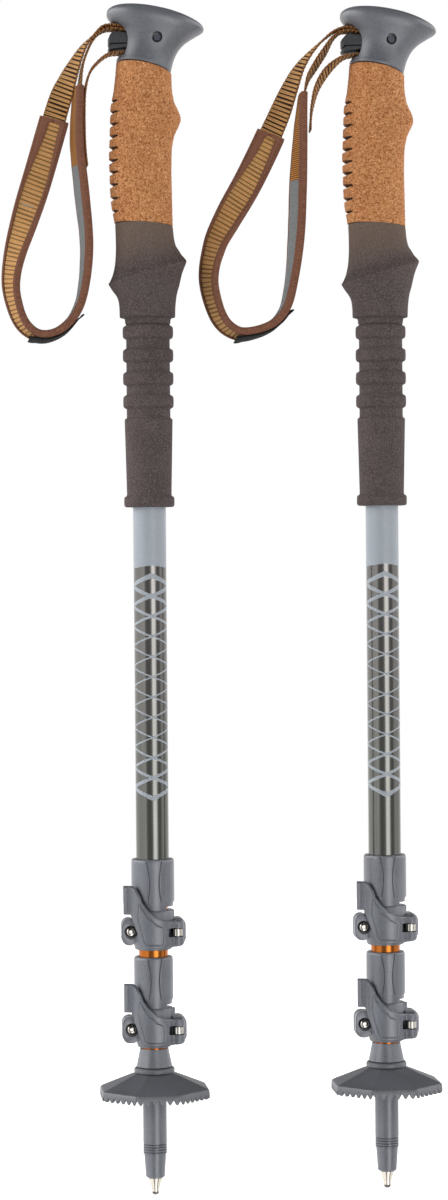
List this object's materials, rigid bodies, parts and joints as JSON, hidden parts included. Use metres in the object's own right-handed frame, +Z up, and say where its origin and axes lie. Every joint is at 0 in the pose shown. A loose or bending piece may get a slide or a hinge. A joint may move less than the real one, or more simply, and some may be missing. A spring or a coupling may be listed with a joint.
{
  "type": "trekking poles",
  "caption": "Pair of collapsed telescopic trekking poles with cork and foam grips, wrist straps, cam-lever locks, trekking baskets and carbide tips.",
  "frame": {"origin": "on the ground, at the middle of the pair's bounding box seen from above; the carbide tips stand at z = 0", "axes": "+Z up along the shafts, +X from the wrist straps towards the heads' front beaks and from the left pole to the right pole, -Y towards the side that the levers face"},
  "size_m": [0.2375, 0.0582, 0.65],
  "materials": {
    "grey_plastic": "satin moulded",
    "dark_plastic": "fine moulded grain",
    "cork": "granulated agglomerate cork",
    "foam": "fine closed-cell EVA foam, matt",
    "painted_shaft": "silver-blue satin paint with a metallic titanium zone",
    "copper_shaft": "copper anodised, satin",
    "steel": "bright nickel plated",
    "carbide": "ground, matt",
    "webbing": "ribbed woven webbing",
    "strap_padding": "bound padded fabric",
    "strap_patch": "coated fabric"
  },
  "bodies": {
    "left_handle": {"left_head_cap": "grey_plastic", "left_strap_pin": "steel", "left_cork_grip": "cork", "left_foam_grip": "foam", "left_upper_shaft": "painted_shaft", "left_upper_clamp": "grey_plastic", "left_upper_cam_bolt": "steel", "left_upper_nuts": "steel", "left_strap_webbing_root": "webbing"},
    "left_wedge": {"left_strap_wedge": "dark_plastic"},
    "left_strap": {"left_strap_webbing_loop": "webbing", "left_strap_pad": "strap_padding", "left_strap_patch": "strap_patch"},
    "left_upper_lever": {"left_upper_lever": "grey_plastic", "left_upper_cam_pin": "steel"},
    "left_upper_screw": {"left_upper_tension_screw": "steel"},
    "left_middle": {"left_middle_shaft": "copper_shaft", "left_middle_guide_bush": "dark_plastic", "left_lower_clamp": "grey_plastic", "left_lower_cam_bolt": "steel", "left_lower_nuts": "steel"},
    "left_lower_lever": {"left_lower_lever": "grey_plastic", "left_lower_cam_pin": "steel"},
    "left_lower_screw": {"left_lower_tension_screw": "steel"},
    "left_lower": {"left_lower_shaft": "copper_shaft", "left_lower_guide_bush": "dark_plastic", "left_ferrule": "grey_plastic", "left_tip_holder": "steel", "left_carbide_tip": "carbide"},
    "left_basket": {"left_basket": "grey_plastic"},
    "right_handle": {"right_head_cap": "grey_plastic", "right_strap_pin": "steel", "right_cork_grip": "cork", "right_foam_grip": "foam", "right_upper_shaft": "painted_shaft", "right_upper_clamp": "grey_plastic", "right_upper_cam_bolt": "steel", "right_upper_nuts": "steel", "right_strap_webbing_root": "webbing"},
    "right_wedge": {"right_strap_wedge": "dark_plastic"},
    "right_strap": {"right_strap_webbing_loop": "webbing", "right_strap_pad": "strap_padding", "right_strap_patch": "strap_patch"},
    "right_upper_lever": {"right_upper_lever": "grey_plastic", "right_upper_cam_pin": "steel"},
    "right_upper_screw": {"right_upper_tension_screw": "steel"},
    "right_middle": {"right_middle_shaft": "copper_shaft", "right_middle_guide_bush": "dark_plastic", "right_lower_clamp": "grey_plastic", "right_lower_cam_bolt": "steel", "right_lower_nuts": "steel"},
    "right_lower_lever": {"right_lower_lever": "grey_plastic", "right_lower_cam_pin": "steel"},
    "right_lower_screw": {"right_lower_tension_screw": "steel"},
    "right_lower": {"right_lower_shaft": "copper_shaft", "right_lower_guide_bush": "dark_plastic", "right_ferrule": "grey_plastic", "right_tip_holder": "steel", "right_carbide_tip": "carbide"},
    "right_basket": {"right_basket": "grey_plastic"}
  },
  "joints": [
    {"name": "left_wedge_slide", "type": "slide", "parent": "left_handle", "child": "left_wedge", "axis": [-1, 0, 0], "range_m": [0, 0.003]},
    {"name": "left_strap_turn", "type": "hinge", "parent": "left_handle", "child": "left_strap", "pos_m": [-0.07705, 0, 0.6135], "axis": [0, 0, 1], "range_deg": [-75, 75]},
    {"name": "left_upper_lever_open", "type": "hinge", "parent": "left_handle", "child": "left_upper_lever", "pos_m": [-0.02895, -0.00905, 0.1447], "axis": [0, 0, 1], "range_deg": [0, 160]},
    {"name": "left_upper_screw_turn", "type": "hinge", "parent": "left_handle", "child": "left_upper_screw", "pos_m": [-0.05415, 0, 0.1447], "axis": [0, 1, 0], "continuous": true},
    {"name": "left_middle_slide", "type": "slide", "parent": "left_handle", "child": "left_middle", "axis": [0, 0, -1], "range_m": [-0.0035, 0.35]},
    {"name": "left_lower_lever_open", "type": "hinge", "parent": "left_middle", "child": "left_lower_lever", "pos_m": [-0.02895, -0.00905, 0.0912], "axis": [0, 0, 1], "range_deg": [0, 160]},
    {"name": "left_lower_screw_turn", "type": "hinge", "parent": "left_middle", "child": "left_lower_screw", "pos_m": [-0.05415, 0, 0.0912], "axis": [0, 1, 0], "continuous": true},
    {"name": "left_lower_slide", "type": "slide", "parent": "left_middle", "child": "left_lower", "axis": [0, 0, -1], "range_m": [0, 0.35]},
    {"name": "left_basket_turn", "type": "hinge", "parent": "left_lower", "child": "left_basket", "pos_m": [-0.04155, 0, 0.064], "axis": [0, 0, 1], "range_deg": [0, 360]},
    {"name": "right_wedge_slide", "type": "slide", "parent": "right_handle", "child": "right_wedge", "axis": [-1, 0, 0], "range_m": [0, 0.003]},
    {"name": "right_strap_turn", "type": "hinge", "parent": "right_handle", "child": "right_strap", "pos_m": [0.04845, 0, 0.6135], "axis": [0, 0, 1], "range_deg": [-75, 75]},
    {"name": "right_upper_lever_open", "type": "hinge", "parent": "right_handle", "child": "right_upper_lever", "pos_m": [0.09955, -0.00905, 0.1447], "axis": [0, 0, 1], "range_deg": [0, 160]},
    {"name": "right_upper_screw_turn", "type": "hinge", "parent": "right_handle", "child": "right_upper_screw", "pos_m": [0.07435, 0, 0.1447], "axis": [0, 1, 0], "continuous": true},
    {"name": "right_middle_slide", "type": "slide", "parent": "right_handle", "child": "right_middle", "axis": [0, 0, -1], "range_m": [-0.0035, 0.35]},
    {"name": "right_lower_lever_open", "type": "hinge", "parent": "right_middle", "child": "right_lower_lever", "pos_m": [0.09955, -0.00905, 0.0912], "axis": [0, 0, 1], "range_deg": [0, 160]},
    {"name": "right_lower_screw_turn", "type": "hinge", "parent": "right_middle", "child": "right_lower_screw", "pos_m": [0.07435, 0, 0.0912], "axis": [0, 1, 0], "continuous": true},
    {"name": "right_lower_slide", "type": "slide", "parent": "right_middle", "child": "right_lower", "axis": [0, 0, -1], "range_m": [0, 0.35]},
    {"name": "right_basket_turn", "type": "hinge", "parent": "right_lower", "child": "right_basket", "pos_m": [0.08695, 0, 0.064], "axis": [0, 0, 1], "range_deg": [0, 360]},
    {"name": "right_pole_apart", "type": "slide", "parent": "left_handle", "child": "right_handle", "axis": [1, 0, 0], "range_m": [0, 0.3]}
  ]
}
